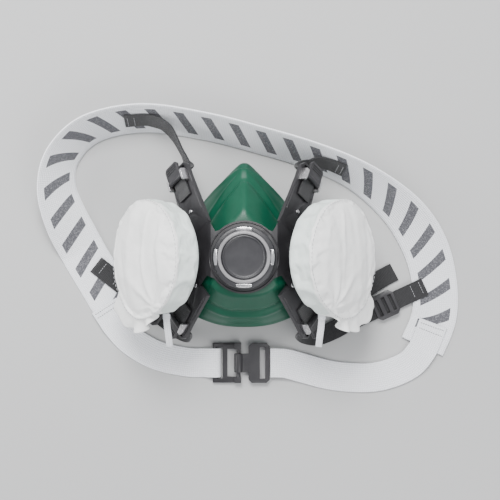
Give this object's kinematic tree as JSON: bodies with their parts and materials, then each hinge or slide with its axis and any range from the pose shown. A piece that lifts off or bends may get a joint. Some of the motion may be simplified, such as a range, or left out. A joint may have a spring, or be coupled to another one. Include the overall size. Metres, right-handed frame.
{
  "type": "half-mask respirator",
  "caption": "Reusable half-mask respirator with angled cloth-covered filter canisters, a round exhalation valve and an elastic harness, lying face seal down.",
  "frame": {"origin": "centre of the footprint, on the plane the face seal and harness rest on", "axes": "+Z the way the mask faces, up from the table; +Y towards the nose; +X to the viewer's right"},
  "size_m": [0.314, 0.215, 0.0955],
  "materials": {
    "green_elastomer": "satin",
    "black_plastic": "satin",
    "charcoal_plastic": "satin",
    "grey_plastic": "matte",
    "pale_plastic": "matte",
    "clear_silicone": "satin",
    "black_rubber": "matte",
    "bright_steel": "satin",
    "screen_steel": "satin",
    "carbon": "matte",
    "filter_paper": "matte",
    "white_cloth": "matte",
    "white_elastic": "matte",
    "black_webbing": "matte"
  },
  "bodies": {
    "mask": {"canister_gasket_left": "black_rubber", "canister_gasket_right": "black_rubber", "canister_shell_left": "pale_plastic", "canister_shell_right": "pale_plastic", "carbon_bed_left": "carbon", "carbon_bed_right": "carbon", "clasp_loop": "black_plastic", "cover_gasket": "black_rubber", "cover_tie_left": "white_cloth", "cover_tie_right": "white_cloth", "crown_band": "white_elastic", "facepiece": "green_elastomer", "filter_cover_left": "white_cloth", "filter_cover_right": "white_cloth", "front_yoke": "black_plastic", "inhalation_seat_left": "grey_plastic", "inhalation_seat_right": "grey_plastic", "inlet_collar_left": "charcoal_plastic", "inlet_collar_right": "charcoal_plastic", "inner_screen_left": "screen_steel", "inner_screen_right": "screen_steel", "lower_buckle_left": "bright_steel", "lower_buckle_right": "bright_steel", "lower_pin_left": "bright_steel", "lower_pin_right": "bright_steel", "lower_strap_left": "black_webbing", "lower_strap_right": "black_webbing", "neck_strap_left": "white_elastic", "neck_strap_right": "white_elastic", "outer_screen_left": "screen_steel", "outer_screen_right": "screen_steel", "particulate_filter_left": "filter_paper", "particulate_filter_right": "filter_paper", "retainer_grille_left": "pale_plastic", "retainer_grille_right": "pale_plastic", "seat_screws_left": "bright_steel", "seat_screws_right": "bright_steel", "strap_free_end": "black_webbing", "upper_buckle_left": "bright_steel", "upper_buckle_right": "bright_steel", "upper_pin_left": "bright_steel", "upper_pin_right": "bright_steel", "upper_strap_left": "black_webbing", "upper_strap_right": "black_webbing", "valve_housing": "grey_plastic", "yoke_rivets": "bright_steel"},
    "exhalation_flap": {"exhalation_flap": "clear_silicone"},
    "inhalation_flap_right": {"inhalation_flap_right": "clear_silicone"},
    "inhalation_flap_left": {"inhalation_flap_left": "clear_silicone"},
    "valve_cover": {"valve_cover_bezel": "charcoal_plastic", "valve_cover_skirt": "charcoal_plastic", "valve_cover_cap": "charcoal_plastic", "valve_cover_grips": "bright_steel"},
    "upper_lever_right": {"upper_lever_right": "black_plastic"},
    "upper_lever_left": {"upper_lever_left": "black_plastic"},
    "lower_lever_right": {"lower_lever_right": "black_plastic"},
    "lower_lever_left": {"lower_lever_left": "black_plastic"},
    "clasp_hook": {"clasp_hook": "black_plastic"},
    "side_slide_right": {"side_slide_right": "black_plastic"},
    "side_slide_left": {"side_slide_left": "black_plastic"}
  },
  "joints": [
    {"name": "exhalation_flap_lift", "type": "slide", "parent": "mask", "child": "exhalation_flap", "axis": [0, 0, 1], "range_m": [0, 0.002], "stiffness_N_per_m": 20, "springref_m": -0.0003},
    {"name": "inhalation_flap_right_lift", "type": "slide", "parent": "mask", "child": "inhalation_flap_right", "axis": [-0.788, 0, -0.6157], "range_m": [0, 0.0018], "stiffness_N_per_m": 20, "springref_m": -0.0004},
    {"name": "inhalation_flap_left_lift", "type": "slide", "parent": "mask", "child": "inhalation_flap_left", "axis": [0.788, 0, -0.6157], "range_m": [0, 0.0018], "stiffness_N_per_m": 20, "springref_m": -0.0004},
    {"name": "valve_cover_turn", "type": "hinge", "parent": "mask", "child": "valve_cover", "pos_m": [-0.00393, -0.00512, 0.0706], "axis": [0, 0, 1], "range_deg": [0, 40]},
    {"name": "upper_lever_right_open", "type": "hinge", "parent": "mask", "child": "upper_lever_right", "pos_m": [0.04498, 0.04988, 0.04473], "axis": [0.5404, -0.4792, -0.6916], "range_deg": [0, 60]},
    {"name": "upper_lever_left_open", "type": "hinge", "parent": "mask", "child": "upper_lever_left", "pos_m": [-0.05284, 0.04988, 0.04473], "axis": [0.5404, 0.4792, 0.6916], "range_deg": [0, 60]},
    {"name": "lower_lever_right_open", "type": "hinge", "parent": "mask", "child": "lower_lever_right", "pos_m": [0.04547, -0.05112, 0.0441], "axis": [-0.4925, -0.6, 0.6304], "range_deg": [0, 55]},
    {"name": "lower_lever_left_open", "type": "hinge", "parent": "mask", "child": "lower_lever_left", "pos_m": [-0.05333, -0.05112, 0.0441], "axis": [-0.4925, 0.6, -0.6304], "range_deg": [0, 55]},
    {"name": "clasp_hook_swing", "type": "hinge", "parent": "mask", "child": "clasp_hook", "pos_m": [-0.00843, -0.08512, 0.0036], "axis": [0, -1, 0], "range_deg": [0, 65]},
    {"name": "side_slide_right_travel", "type": "slide", "parent": "mask", "child": "side_slide_right", "axis": [0.907, 0.421, 0], "range_m": [-0.003, 0.006]},
    {"name": "side_slide_left_travel", "type": "slide", "parent": "mask", "child": "side_slide_left", "axis": [-0.7861, 0.6181, 0], "range_m": [-0.004, 0.004]}
  ]
}
